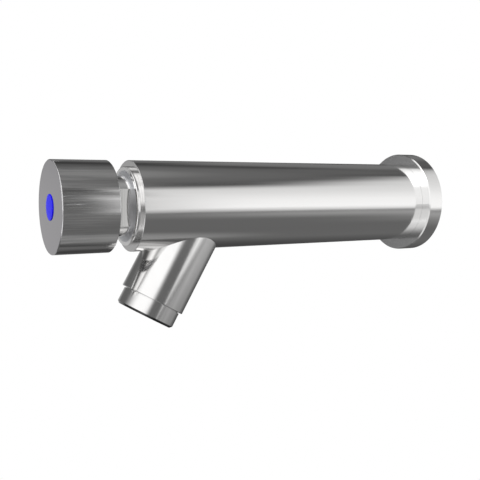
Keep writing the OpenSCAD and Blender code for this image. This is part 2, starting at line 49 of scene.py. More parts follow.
# Camera: stands off the tap's front right and slightly above its axis, so that the
# button is at the left of the picture and the wall flange at the right.
camera_place = Vector((0.292832, -0.267269, 0.019581))
camera_azimuth = math.radians(60.992)
camera_elevation = math.radians(6.246)
camera_roll = math.radians(0.947)
camera_lens = 52.838
back = Vector((
    math.sin(camera_azimuth) * math.cos(camera_elevation),
    -math.cos(camera_azimuth) * math.cos(camera_elevation),
    math.sin(camera_elevation),
))
level_right = Vector((0, 0, 1)).cross(back).normalized()
level_up = back.cross(level_right)
right = math.cos(camera_roll) * level_right + math.sin(camera_roll) * level_up
up = math.cos(camera_roll) * level_up - math.sin(camera_roll) * level_right
camera_data = bpy.data.cameras.new("camera")
camera_data.sensor_width = 36
camera_data.lens = camera_lens
camera_data.clip_start = 0.01
camera = bpy.data.objects.new("camera", camera_data)
bpy.context.collection.objects.link(camera)
camera_turn = Matrix((right, up, back)).transposed().to_4x4()
camera.matrix_world = Matrix.Translation(camera_place) @ camera_turn
bpy.context.scene.camera = camera
bpy.context.scene.view_settings.view_transform = "Standard"


# Studio: white surround for the camera, and for everything else a dim room with large
# white panels round the tap, whose edges make the bands in the polished steel.
def add_node(tree, kind, inputs=None, **settings):
    made = tree.nodes.new(kind)
    for name, value in settings.items():
        setattr(made, name, value)
    for socket, value in (inputs or {}).items():
        if isinstance(value, bpy.types.NodeSocket):
            tree.links.new(value, made.inputs[socket])
        else:
            made.inputs[socket].default_value = value
    return made


def maths(tree, operation, *values):
    made = add_node(tree, "ShaderNodeMath", dict(enumerate(values)), operation=operation)
    return made.outputs[0]


def separate(tree, vector):
    return add_node(tree, "ShaderNodeSeparateXYZ", {0: vector}).outputs


def mix_shaders(tree, mask, first, second):
    return add_node(tree, "ShaderNodeMixShader", {
        0: mask, 1: first.outputs[0], 2: second.outputs[0]})


def fade(tree, value, start, end, low=0.0, high=1.0):
    return add_node(tree, "ShaderNodeMapRange", {
        "Value": value, "From Min": start, "From Max": end, "To Min": low, "To Max": high,
    }, interpolation_type="SMOOTHSTEP").outputs[0]


def new_group(name, inputs, outputs, kind="ShaderNodeTree"):
    tree = bpy.data.node_groups.new(name, kind)
    for label, socket_kind, value in inputs:
        socket = tree.interface.new_socket(label, in_out="INPUT", socket_type=socket_kind)
        if value is not None:
            socket.default_value = value
    for label, socket_kind in outputs:
        tree.interface.new_socket(label, in_out="OUTPUT", socket_type=socket_kind)
    given = tree.nodes.new("NodeGroupInput").outputs
    return tree, given, tree.nodes.new("NodeGroupOutput").inputs


panel_mask, given, result = new_group("panel_mask", [
    ("Azimuth", "NodeSocketFloat", 0.0), ("Elevation", "NodeSocketFloat", 0.0),
    ("Left", "NodeSocketFloat", -30.0), ("Right", "NodeSocketFloat", 30.0),
    ("Bottom", "NodeSocketFloat", -10.0), ("Top", "NodeSocketFloat", 40.0),
    ("Left Edge", "NodeSocketFloat", 4.0), ("Right Edge", "NodeSocketFloat", 4.0),
    ("Bottom Edge", "NodeSocketFloat", 5.0), ("Top Edge", "NodeSocketFloat", 5.0),
], [("Mask", "NodeSocketFloat")])
both_sides = maths(panel_mask, "ADD", given["Left"], given["Right"])
middle = maths(panel_mask, "MULTIPLY", both_sides, 0.5)
opposite = maths(panel_mask, "SUBTRACT", middle, 180.0)
turn = maths(panel_mask, "SUBTRACT", given["Azimuth"], opposite)
turn = maths(panel_mask, "FLOORED_MODULO", turn, 360.0)
nearest = maths(panel_mask, "ADD", turn, opposite)
covered = 1.0
for value, side, outwards, inwards in (
        (nearest, "Left", "SUBTRACT", "ADD"), (nearest, "Right", "ADD", "SUBTRACT"),
        (given["Elevation"], "Bottom", "SUBTRACT", "ADD"),
        (given["Elevation"], "Top", "ADD", "SUBTRACT")):
    outer = maths(panel_mask, outwards, given[side], given[side + " Edge"])
    inner = maths(panel_mask, inwards, given[side], given[side + " Edge"])
    covered = maths(panel_mask, "MULTIPLY", covered, fade(panel_mask, value, outer, inner))
panel_mask.links.new(covered, result["Mask"])

# Each panel's left, right, bottom and top in degrees, with 0 in front of the button and
# 90 to the tap's right, then the half width of each of those edges, and its strength.
studio_panels = {
    "rear_card": (114, 178, -11, 43, 2.5, 6, 4.5, 6, 0.94),
    "rear_card_low": (115, 178, -10.8, 22, 6, 6, 4.5, 22, 0.45),
    "rear_ground": (106, 216, -120, -8, 8, 25, 5, 8, 0.12),
    "rear_card_high": (145, 178, 43, 47.5, 10, 6, 6, 6, 0.9),
    "rear_card_side": (109, 114, -12, 28, 2.5, 2.5, 4, 8, 0.9),
    "rear_haze": (118, 190, -24, -15, 12, 30, 8, 5, 0.31),
    "ceiling": (-190, 190, 52, 120, 5, 5, 8, 5, 0.12),
    "ceiling_middle": (-190, 190, 66, 120, 5, 5, 5, 5, 0.14),
    "ground_middle": (110, 188, -120, -62, 5, 14, 5, 5, 0.2),
    "side_room": (66, 111, -95, 60, 8, 4, 5, 10, 0.11),
    "side_glow": (100, 124, 46, 66, 6, 8, 5, 5, 0.18),
    "front_card": (-7, 56, -8, 58, 33, 8, 5, 8, 1.4),
    "front_card_right": (56, 75, 6, 58, 8, 9, 12, 8, 1.4),
    "front_high": (-80, -44, 28, 46, 10, 8, 6, 6, 0.9),
    "front_high_middle": (-44, 45, 36, 76, 8, 20, 4, 5, 1.2),
    "front_left_card": (-41, -8, -8, 14, 5, 8, 5, 5, 2.0),
    "front_table": (-7, 56, -62, -11, 28, 8, 6, 5, 1.04),
    "front_table_right": (56, 78, -62, -12, 8, 8, 6, 14, 0.45),
    "front_table_left": (-14, 28, -38, -20, 8, 6, 5, 5, 1.2),
    "front_floor": (-28, 60, -78, -66, 12, 10, 5, 4, 0.2),
    "rear_left": (210, 238, 18, 42, 8, 5, 6, 5, 0.16),
    "rear_left_high": (186, 215, 38, 52, 5, 6, 5, 4, 0.07),
    "left_edge": (-124, -96, -22, 34, 4, 6, 6, 6, 0.12),
    "left_ground": (228, 262, -80, -52, 6, 8, 6, 6, 0.12),
    "spout_card": (140, 195, -34, -14, 8, 10, 8, 5, 0.16),
    "left_card": (-100, -58, -45, 4, 8, 6, 10, 8, 0.36),
    "left_room": (-100, -20, -95, 50, 10, 10, 5, 10, 0.09),
}
room_level = 0.07
panel_inputs = (
    "Left", "Right", "Bottom", "Top", "Left Edge", "Right Edge", "Bottom Edge", "Top Edge")

world = bpy.data.worlds.new("studio")
bpy.context.scene.world = world
world.use_nodes = True
tree = world.node_tree
tree.nodes.clear()
towards = add_node(tree, "ShaderNodeTexCoord").outputs["Generated"]
parts = separate(tree, towards)
frontwards = maths(tree, "MULTIPLY", parts["Y"], -1.0)
azimuth = maths(tree, "DEGREES", maths(tree, "ARCTAN2", parts["X"], frontwards))
elevation = maths(tree, "DEGREES", maths(tree, "ARCSINE", parts["Z"]))
level = room_level
for *sizes, strength in studio_panels.values():
    mask = add_node(tree, "ShaderNodeGroup", {
        "Azimuth": azimuth, "Elevation": elevation, **dict(zip(panel_inputs, sizes)),
    }, node_tree=panel_mask).outputs["Mask"]
    level = maths(tree, "ADD", level, maths(tree, "MULTIPLY", mask, strength))
white = (1, 1, 1, 1)
room_light = add_node(tree, "ShaderNodeBackground", {"Color": white, "Strength": level})
white_surround = add_node(tree, "ShaderNodeBackground", {"Color": white, "Strength": 1.0})
seen = add_node(tree, "ShaderNodeLightPath").outputs["Is Camera Ray"]
mixed = mix_shaders(tree, seen, room_light, white_surround)
add_node(tree, "ShaderNodeOutputWorld", {"Surface": mixed.outputs[0]})

floor_height = -0.16
floor_reach = 4.0
floor_mesh = bpy.data.meshes.new("floor")
floor_mesh.from_pydata([
    (-floor_reach, -floor_reach, floor_height), (floor_reach, -floor_reach, floor_height),
    (floor_reach, floor_reach, floor_height), (-floor_reach, floor_reach, floor_height),
], [], [(0, 1, 2, 3)])
floor = bpy.data.objects.new("floor", floor_mesh)
bpy.context.collection.objects.link(floor)
floor_paint = bpy.data.materials.new("floor_paint")
floor_paint.use_nodes = True
tree = floor_paint.node_tree
tree.nodes.clear()
pale = add_node(tree, "ShaderNodeBsdfDiffuse", {"Color": (0.6, 0.6, 0.6, 1)})
lit = add_node(tree, "ShaderNodeEmission", {"Color": white, "Strength": 1.0})
seen = add_node(tree, "ShaderNodeLightPath").outputs["Is Camera Ray"]
mixed = mix_shaders(tree, seen, pale, lit)
underside = add_node(tree, "ShaderNodeNewGeometry").outputs["Backfacing"]
clear = add_node(tree, "ShaderNodeBsdfTransparent")
one_sided = mix_shaders(tree, underside, mixed, clear)
add_node(tree, "ShaderNodeOutputMaterial", {"Surface": one_sided.outputs[0]})
floor_mesh.materials.append(floor_paint)
floor.visible_glossy = False


# Body: a thick walled stainless tube, turned and then polished along its length, which
# carries the supply bore, the cartridge's chamber and the hole into the spout.
def noise(tree, inputs, dimensions="3D"):
    return add_node(tree, "ShaderNodeTexNoise", inputs, noise_dimensions=dimensions).outputs[0]


drawn_grain, given, result = new_group("drawn_grain", [
    ("Vector", "NodeSocketVector", None), ("Across", "NodeSocketFloat", 4000.0),
    ("Along", "NodeSocketFloat", 40.0), ("Turn", "NodeSocketFloat", 0.0),
], [("Lines", "NodeSocketFloat"), ("Drift", "NodeSocketFloat")])
turned = add_node(drawn_grain, "ShaderNodeVectorRotate", {
    "Vector": given["Vector"], "Angle": given["Turn"]}, rotation_type="X_AXIS")
stretch = add_node(drawn_grain, "ShaderNodeCombineXYZ", {
    0: given["Across"], 1: given["Along"], 2: given["Across"]})
spread = add_node(drawn_grain, "ShaderNodeVectorMath", {
    0: turned.outputs[0], 1: stretch.outputs[0]}, operation="MULTIPLY").outputs[0]
lines = noise(drawn_grain, {"Vector": spread, "Scale": 1.0, "Detail": 3.0, "Roughness": 0.6})
drift = noise(drawn_grain, {"Vector": spread, "Scale": 0.12, "Detail": 2.0})
drawn_grain.links.new(lines, result["Lines"])
drawn_grain.links.new(drift, result["Drift"])


def axis_distance(tree, parts):
    squares = [maths(tree, "MULTIPLY", parts[letter], parts[letter]) for letter in "XZ"]
    return maths(tree, "SQRT", maths(tree, "ADD", *squares))


turned_grain, given, result = new_group("turned_grain", [
    ("Vector", "NodeSocketVector", None), ("Rings", "NodeSocketFloat", 5000.0),
], [("Lines", "NodeSocketFloat"), ("Drift", "NodeSocketFloat")])
parts = separate(turned_grain, given["Vector"])
along = maths(turned_grain, "ADD", axis_distance(turned_grain, parts), parts["Y"])
rings = maths(turned_grain, "MULTIPLY", along, given["Rings"])
lines = noise(turned_grain, {"W": rings, "Scale": 1.0, "Detail": 3.0}, dimensions="1D")
drift = noise(turned_grain, {"Vector": given["Vector"], "Scale": 160.0, "Detail": 3.0})
turned_grain.links.new(lines, result["Lines"])
turned_grain.links.new(drift, result["Drift"])

# Edge mask from the bevel, used for a set colour along edges: wear on most parts, and a painted
# highlight on the knob's front edge.
edge_wear_and_painted_highlight, given, result = new_group("edge_wear_and_painted_highlight", [
    ("Reach", "NodeSocketFloat", 0.0003),
], [("Mask", "NodeSocketFloat"), ("Normal", "NodeSocketVector")])
rounded = add_node(
    edge_wear_and_painted_highlight, "ShaderNodeBevel", {"Radius": given["Reach"]}, samples=6).outputs[0]
flat = add_node(edge_wear_and_painted_highlight, "ShaderNodeNewGeometry").outputs["Normal"]
agree = add_node(edge_wear_and_painted_highlight, "ShaderNodeVectorMath", {
    0: rounded, 1: flat}, operation="DOT_PRODUCT").outputs["Value"]
edge_mark_starts, edge_mark_full = 0.995, 0.86
edge_wear_and_painted_highlight.links.new(fade(edge_wear_and_painted_highlight, agree, edge_mark_starts, edge_mark_full), result["Mask"])
edge_wear_and_painted_highlight.links.new(rounded, result["Normal"])
noise_low, noise_high = 0.3, 0.7
steel_relief = 0.00002


def new_material(name):
    made = bpy.data.materials.new(name)
    made.use_nodes = True
    return made, made.node_tree, made.node_tree.nodes["Principled BSDF"]


def object_place(tree):
    return add_node(tree, "ShaderNodeTexCoord").outputs["Object"]


def mix_colours(tree, mask, first, second):
    return add_node(
        tree, "ShaderNodeMix", {0: mask, 6: first, 7: second}, data_type="RGBA").outputs[2]


def dark_and_light(colour, tint):
    dark = tuple(c * (1 - tint) for c in colour) + (1,)
    light = tuple(min(1, c * (1 + tint)) for c in colour) + (1,)
    return dark, light


def noise_between(tree, value, low, high):
    return add_node(tree, "ShaderNodeMapRange", {
        "Value": value, "From Min": noise_low, "From Max": noise_high,
        "To Min": low, "To Max": high}).outputs[0]


def finish_surface(tree, shader, colour, rough, relief, metallic):
    tree.links.new(colour, shader.inputs["Base Color"])
    tree.links.new(rough, shader.inputs["Roughness"])
    bumped = add_node(tree, "ShaderNodeBump", relief).outputs[0]
    tree.links.new(bumped, shader.inputs["Normal"])
    shader.inputs["Metallic"].default_value = metallic


def steel(name, grain, grain_values, colour, worn, roughness, rough_spread, bump,
          edge=0.00025, tint=0.08):
    made, tree, shader = new_material(name)
    texture = add_node(tree, "ShaderNodeGroup", {
        "Vector": object_place(tree), **grain_values}, node_tree=grain).outputs
    edge_wear_and_highlight = add_node(tree, "ShaderNodeGroup", {"Reach": edge}, node_tree=edge_wear_and_painted_highlight).outputs
    shade = mix_colours(tree, texture["Drift"], *dark_and_light(colour, tint))
    shade = mix_colours(tree, edge_wear_and_highlight["Mask"], shade, (*worn, 1))
    rough = noise_between(
        tree, texture["Lines"], roughness - rough_spread, roughness + rough_spread)
    finish_surface(tree, shader, shade, rough, {
        "Height": texture["Lines"], "Normal": edge_wear_and_highlight["Normal"],
        "Strength": bump, "Distance": steel_relief}, metallic=1.0)
    return made


def dress(material, *names):
    for name in names:
        for held in cad_nodes[name].material_slots:
            held.material = material


polished_steel = steel(
    "polished_steel", drawn_grain, {"Across": 3000.0, "Along": 30.0},
    colour=(0.63, 0.625, 0.62), worn=(0.72, 0.72, 0.72),
    roughness=0.12, rough_spread=0.03, bump=0.12, tint=0.03)
dress(polished_steel, "body")

# Wall flange: a turned ring of the same steel, pushed up to the wall over the body, with
# a rubber gasket behind it and a small grub screw underneath that holds it in place.
flange_steel = steel(
    "flange_steel", turned_grain, {"Rings": 6000.0},
    colour=(0.63, 0.625, 0.62), worn=(0.66, 0.66, 0.66),
    roughness=0.13, rough_spread=0.03, bump=0.06, edge=0.00004, tint=0.03)
tree = flange_steel.node_tree
shader = tree.nodes["Principled BSDF"]
facing = separate(tree, add_node(tree, "ShaderNodeNewGeometry").outputs["True Normal"])
# Painted highlight: the front face is given a near white colour for the bright ring of light it
# shows.
front_starts, front_faces = -0.9, -0.98
on_front = fade(tree, facing["Y"], front_starts, front_faces)
turned_shade = shader.inputs["Base Color"].links[0].from_socket
painted_front_highlight = mix_colours(tree, on_front, turned_shade, (0.92, 0.92, 0.92, 1))
tree.links.new(painted_front_highlight, shader.inputs["Base Color"])
dress(flange_steel, "wall_flange")


moulded_relief = 0.00003
moulded_rough_spread = 0.15


def moulded(name, colour, roughness, speckle, bump, specular=0.5, coat=0.0, coat_roughness=0.1):
    made, tree, shader = new_material(name)
    place = object_place(tree)
    fine = noise(tree, {"Vector": place, "Scale": 2600.0, "Detail": 3.0})
    broad = noise(tree, {"Vector": place, "Scale": 190.0, "Detail": 2.0})
    shade = mix_colours(tree, broad, *dark_and_light(colour, speckle))
    rough = noise_between(
        tree, broad, roughness * (1 - moulded_rough_spread), roughness * (1 + moulded_rough_spread))
    finish_surface(tree, shader, shade, rough, {
        "Height": fine, "Strength": bump, "Distance": moulded_relief}, metallic=0.0)
    shader.inputs["Specular IOR Level"].default_value = specular
    shader.inputs["Coat Weight"].default_value = coat
    shader.inputs["Coat Roughness"].default_value = coat_roughness
    return made


seal_rubber = moulded(
    "seal_rubber", colour=(0.028, 0.028, 0.03), roughness=0.62, speckle=0.25, bump=0.35)
dress(seal_rubber, "wall_gasket")
screw_steel = steel(
    "screw_steel", turned_grain, {"Rings": 9000.0},
    colour=(0.42, 0.42, 0.43), worn=(0.6, 0.6, 0.6),
    roughness=0.32, rough_spread=0.06, bump=0.2)
dress(screw_steel, "flange_grub_screw")

# Inlet nipple: a steel tube with a G 1/2 pipe thread at both ends of its length, one half
# for the wall fitting and one screwed into the body, and a hexagonal bore for its key.
turned_steel = steel(
    "turned_steel", turned_grain, {"Rings": 6500.0},
    colour=(0.66, 0.655, 0.645), worn=(0.75, 0.75, 0.74),
    roughness=0.2, rough_spread=0.05, bump=0.25)
thread_pitch = 1.814
thread_crest = 10.47
thread_root = 9.32
flank_slope, root_flat = 1.3, 0.15
nipple_rear, nipple_shoulder, relief_front, nipple_front = -14.0, 0.0, 2.5, 15.7
nipple_bore, nipple_bevel = 7.0, 0.4
key_across, key_rear = 12.0, 7.7
around = 96
rows_per_pitch = 10
angles = np.linspace(0, 2 * math.pi, around, endpoint=False)


def turned_point(radius, angle, height):
    return (radius * math.cos(angle) * MM, -height * MM, radius * math.sin(angle) * MM)


def add_thread(points, faces, rear, front):
    first = len(points)
    count = int(math.ceil((front - rear + thread_pitch) / thread_pitch * rows_per_pitch)) + 1
    for row in range(count):
        profile = 1 - abs(2 * (row % rows_per_pitch) / rows_per_pitch - 1)
        rise = min(1, max(0, flank_slope * profile - root_flat))
        radius = thread_root + (thread_crest - thread_root) * rise
        for angle in angles:
            turns = row / rows_per_pitch + angle / (2 * math.pi)
            height = rear - thread_pitch + turns * thread_pitch
            clamped = min(max(height, rear), front)
            taper = thread_root + max(0, min(clamped - rear, front - clamped))
            points.append(turned_point(min(radius, taper), angle, clamped))
    for row in range(count - 1):
        for i in range(around):
            after = (i + 1) % around
            step = rows_per_pitch if after == 0 else 0
            low, high = min(row + step, count - 1), min(row + 1 + step, count - 1)
            faces.append((
                first + row * around + i, first + low * around + after,
                first + high * around + after, first + (row + 1) * around + i))


def add_loops(points, faces, loops):
    first = len(points)
    for loop in loops:
        points.extend(
            turned_point(radius, angle, height) for (radius, height), angle in zip(loop, angles))
    for row in range(len(loops) - 1):
        for i in range(around):
            after = (i + 1) % around
            faces.append((
                first + row * around + i, first + row * around + after,
                first + (row + 1) * around + after, first + (row + 1) * around + i))


merge_distance, sliver_length = 1e-6, 1e-7


def show_edges(mesh, smooth_angle):
    shape = bmesh.new()
    shape.from_mesh(mesh)
    bmesh.ops.remove_doubles(shape, verts=shape.verts, dist=merge_distance)
    bmesh.ops.dissolve_degenerate(shape, edges=shape.edges, dist=sliver_length)
    bmesh.ops.recalc_face_normals(shape, faces=shape.faces)
    for face in shape.faces:
        face.smooth = True
    for edge in shape.edges:
        if len(edge.link_faces) == 2 and edge.calc_face_angle() > smooth_angle:
            edge.smooth = False
    shape.to_mesh(mesh)
    shape.free()


def plain_loop(radius, height):
    return [(radius, height)] * around


key_loop = [
    key_across / 2 / math.cos(math.radians((math.degrees(angle) % 60) - 30)) for angle in angles]
points, faces = [], []
add_thread(points, faces, nipple_rear, nipple_shoulder)
add_loops(points, faces, [
    plain_loop(thread_root, nipple_shoulder), plain_loop(thread_root, relief_front)])
add_thread(points, faces, relief_front, nipple_front)
add_loops(points, faces, [
    plain_loop(thread_root, nipple_front), [(radius, nipple_front) for radius in key_loop],
    [(radius, key_rear) for radius in key_loop], plain_loop(nipple_bore, key_rear),
    plain_loop(nipple_bore, nipple_rear + nipple_bevel),
    plain_loop(nipple_bore + nipple_bevel, nipple_rear),
    plain_loop(thread_root, nipple_rear),
])
nipple_mesh = bpy.data.meshes.new("threaded_nipple")
nipple_mesh.from_pydata(points, [], faces)
show_edges(nipple_mesh, smooth_angle=math.radians(40))
threaded_nipple = bpy.data.objects.new("threaded_nipple", nipple_mesh)
bpy.context.collection.objects.link(threaded_nipple)
threaded_nipple.data.materials.append(turned_steel)
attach(threaded_nipple, "tap_body")
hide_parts("inlet_nipple")
dress(seal_rubber, "inlet_gasket")
brass = steel(
    "turned_brass", turned_grain, {"Rings": 5500.0},
    colour=(0.76, 0.6, 0.32), worn=(0.86, 0.74, 0.46),
    roughness=0.24, rough_spread=0.06, bump=0.3)
dress(brass, "inlet_strainer")

# Spout: a short branch of the same steel, cut to the body's curve and welded round the
# port, then polished with the body, so that its joint shows as one clean line.
spout_tilt = math.radians(29.3)
spout_root = Vector((0, -0.12588, 0))
spout_down = Vector((0, -math.sin(spout_tilt), -math.cos(spout_tilt)))
near_weld_end, near_weld_start, near_weld_rough = 0.036, 0.02, 0.05
spout_steel = steel(
    "spout_steel", drawn_grain,
    {"Across": 2600.0, "Along": 60.0, "Turn": math.pi / 2 - spout_tilt},
    colour=(0.68, 0.675, 0.67), worn=(0.66, 0.66, 0.66),
    roughness=0.13, rough_spread=0.03, bump=0.1, edge=0.00006, tint=0.03)


def down_the_spout(tree):
    from_root = add_node(tree, "ShaderNodeVectorMath", {
        0: object_place(tree), 1: spout_root}, operation="SUBTRACT").outputs[0]
    return add_node(tree, "ShaderNodeVectorMath", {
        0: from_root, 1: spout_down}, operation="DOT_PRODUCT").outputs["Value"]


tree = spout_steel.node_tree
shader = tree.nodes["Principled BSDF"]
near_weld = fade(
    tree, down_the_spout(tree), near_weld_end, near_weld_start, 0.0, near_weld_rough)
all_over = shader.inputs["Roughness"].links[0].from_socket
tree.links.new(maths(tree, "ADD", all_over, near_weld), shader.inputs["Roughness"])
dress(spout_steel, "spout")

# Aerator: a honeycomb insert on the housing's lip, a woven wire screen over it, and a
# moulded disc that steadies the flow, all sealed against the spout by a flat washer.
housing_steel = spout_steel.copy()
housing_steel.name = "housing_steel"
tree = housing_steel.node_tree
shader = tree.nodes["Principled BSDF"]
# Painted dark reflection: a near black band on the housing's lip stands in for the dark
# surroundings it reflects from below.
housing_lip, lip_edge = 0.0553, 0.0004
on_lip = fade(tree, down_the_spout(tree), housing_lip, housing_lip + lip_edge)
steel_colour = shader.inputs["Base Color"].links[0].from_socket
painted_dark_lip = mix_colours(tree, on_lip, steel_colour, (0.12, 0.12, 0.12, 1))
tree.links.new(painted_dark_lip, shader.inputs["Base Color"])
dress(housing_steel, "aerator_housing")
acetal = moulded(
    "white_acetal", colour=(0.82, 0.82, 0.8), roughness=0.42, speckle=0.04, bump=0.15)
dress(acetal, "aerator_insert", "flow_regulator")
dress(seal_rubber, "aerator_washer")


def grow(name, tree, inputs, place, smooth_angle):
    made = bpy.data.objects.new(name, bpy.data.meshes.new(name))
    bpy.context.collection.objects.link(made)
    modifier = made.modifiers.new(name, "NODES")
    modifier.node_group = tree
    for item in tree.interface.items_tree:
        if item.in_out == "INPUT":
            modifier[item.identifier] = inputs[item.name]
    grown = made.evaluated_get(bpy.context.evaluated_depsgraph_get())
    mesh = bpy.data.meshes.new_from_object(grown)
    made.modifiers.remove(modifier)
    mesh.name = name
    mesh.transform(place)
    show_edges(mesh, smooth_angle)
    made.data = mesh
    return made


def swept_wire(tree, curve, thickness, sides):
    profile = add_node(tree, "GeometryNodeCurvePrimitiveCircle", {
        "Resolution": sides, "Radius": maths(tree, "MULTIPLY", thickness, 0.5)})
    return add_node(tree, "GeometryNodeCurveToMesh", {
        "Curve": curve, "Profile Curve": profile.outputs["Curve"], "Fill Caps": True}).outputs[0]


def hand_out(tree, geometry, material, result):
    real = add_node(tree, "GeometryNodeRealizeInstances", {"Geometry": geometry}).outputs[0]
    dressed = add_node(tree, "GeometryNodeSetMaterial", {"Geometry": real, "Material": material})
    tree.links.new(dressed.outputs[0], result["Geometry"])


woven_disc, given, result = new_group("woven_disc", [
    ("Radius", "NodeSocketFloat", None), ("Pitch", "NodeSocketFloat", None),
    ("Wire", "NodeSocketFloat", None), ("Material", "NodeSocketMaterial", None),
], [("Geometry", "NodeSocketGeometry")], kind="GeometryNodeTree")
inner_radius = maths(woven_disc, "SUBTRACT", given["Radius"], given["Wire"])
each_side = maths(woven_disc, "FLOOR", maths(woven_disc, "DIVIDE", inner_radius, given["Pitch"]))
half_span = maths(woven_disc, "MULTIPLY", each_side, given["Pitch"])
first_place = maths(woven_disc, "MULTIPLY", half_span, -1.0)
rows = add_node(woven_disc, "GeometryNodeMeshLine", {
    "Count": maths(woven_disc, "ADD", maths(woven_disc, "MULTIPLY", each_side, 2.0), 1.0),
    "Start Location": add_node(woven_disc, "ShaderNodeCombineXYZ", {1: first_place}).outputs[0],
    "Offset": add_node(woven_disc, "ShaderNodeCombineXYZ", {1: given["Pitch"]}).outputs[0]})
straight = add_node(woven_disc, "GeometryNodeCurvePrimitiveLine", {
    "Start": (-1, 0, 0), "End": (1, 0, 0)})
divided = add_node(woven_disc, "GeometryNodeResampleCurve", {
    "Curve": straight.outputs[0], "Count": 81})
laid = add_node(woven_disc, "GeometryNodeInstanceOnPoints", {
    "Points": rows.outputs[0], "Instance": divided.outputs[0]})
loose = add_node(woven_disc, "GeometryNodeRealizeInstances", {"Geometry": laid.outputs[0]})
parts = separate(woven_disc, add_node(woven_disc, "GeometryNodeInputPosition").outputs[0])
inner_square = maths(woven_disc, "MULTIPLY", inner_radius, inner_radius)
row_square = maths(woven_disc, "MULTIPLY", parts["Y"], parts["Y"])
half_chord = maths(woven_disc, "SQRT", maths(woven_disc, "SUBTRACT", inner_square, row_square))
along = maths(woven_disc, "MULTIPLY", parts["X"], half_chord)
crossings = maths(woven_disc, "DIVIDE", maths(woven_disc, "ADD", along, parts["Y"]), given["Pitch"])
wave = maths(woven_disc, "COSINE", maths(woven_disc, "MULTIPLY", crossings, math.pi))
height = maths(woven_disc, "MULTIPLY", wave, maths(woven_disc, "MULTIPLY", given["Wire"], 0.5))
waved_place = add_node(woven_disc, "ShaderNodeCombineXYZ", {0: along, 1: parts["Y"], 2: height})
woven = add_node(woven_disc, "GeometryNodeSetPosition", {
    "Geometry": loose.outputs[0], "Position": waved_place.outputs[0]})
wires = swept_wire(woven_disc, woven.outputs[0], given["Wire"], sides=5)
quarter_turn = add_node(woven_disc, "GeometryNodeTransform", {
    "Geometry": wires, "Rotation": (math.pi, 0, math.pi / 2)})
rim_curve = add_node(woven_disc, "GeometryNodeCurvePrimitiveCircle", {
    "Resolution": 72, "Radius": inner_radius}).outputs["Curve"]
rim_wire = maths(woven_disc, "MULTIPLY", given["Wire"], 2.0)
rim = swept_wire(woven_disc, rim_curve, rim_wire, sides=10)
joined = add_node(woven_disc, "GeometryNodeJoinGeometry")
for piece in (wires, quarter_turn.outputs[0], rim):
    woven_disc.links.new(piece, joined.inputs[0])
hand_out(woven_disc, joined.outputs[0], given["Material"], result)
screen_middle = 0.04315
screen_radius, screen_pitch, screen_wire = 0.01055, 0.001, 0.0003
screen_turn = Matrix.Rotation(math.pi - spout_tilt, 4, "X")
screen_place = Matrix.Translation(spout_root + spout_down * screen_middle) @ screen_turn
woven_screen = grow("woven_screen", woven_disc, {
    "Radius": screen_radius, "Pitch": screen_pitch, "Wire": screen_wire,
    "Material": turned_steel}, screen_place, smooth_angle=math.radians(60))
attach(woven_screen, "tap_body")
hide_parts("aerator_screen")

# Bonnet: turned from bar, with a threaded skirt in the chamber, a collar on the body's
# face, a shallow cone, and a boss with two flats for the spanner that tightens it.
bonnet_steel, tree, shader = new_material("bonnet_steel")
place = object_place(tree)
parts = separate(tree, place)
facing = separate(tree, add_node(tree, "ShaderNodeNewGeometry").outputs["True Normal"])
from_axis = axis_distance(tree, parts)
boss_starts, boss_clear = -0.1637, -0.1639
boss_radius, cone_inside, cone_outside = 0.0105, 0.0155, 0.0157
sideways_starts, fully_sideways = 0.995, 0.999
forward_starts, fully_forward = -0.9, -0.95
turned_dark, turned_light = (0.86, 0.855, 0.85, 1), (0.9, 0.895, 0.89, 1)
# Painted reflection colours for the cone, blue grey at the boss and lighter at its rim.
painted_reflection_at_boss, painted_reflection_at_rim = (0.78, 0.785, 0.81, 1), (0.9, 0.91, 0.94, 1)
milled_flat, worn_bonnet = (0.62, 0.615, 0.605, 1), (0.7, 0.7, 0.7, 1)
sideways = maths(tree, "ABSOLUTE", facing["X"])
faces_sideways = fade(tree, sideways, sideways_starts, fully_sideways)
on_boss = fade(tree, parts["Y"], boss_starts, boss_clear)
on_flat = maths(tree, "MULTIPLY", faces_sideways, on_boss)
faces_forward = fade(tree, facing["Y"], forward_starts, fully_forward)
within_cone = fade(tree, from_axis, cone_outside, cone_inside)
on_cone = maths(tree, "MULTIPLY", faces_forward, within_cone)
cone_rim = fade(tree, from_axis, boss_radius, cone_inside)
milled = noise(tree, {
    "W": maths(tree, "MULTIPLY", parts["Y"], 2600.0), "Scale": 1.0, "Detail": 3.0,
}, dimensions="1D")
rings = add_node(tree, "ShaderNodeGroup", {"Vector": place}, node_tree=turned_grain).outputs
edge_wear_and_highlight = add_node(tree, "ShaderNodeGroup", {"Reach": 0.0001}, node_tree=edge_wear_and_painted_highlight).outputs
shade = mix_colours(tree, rings["Drift"], turned_dark, turned_light)
shade = mix_colours(tree, on_flat, shade, milled_flat)
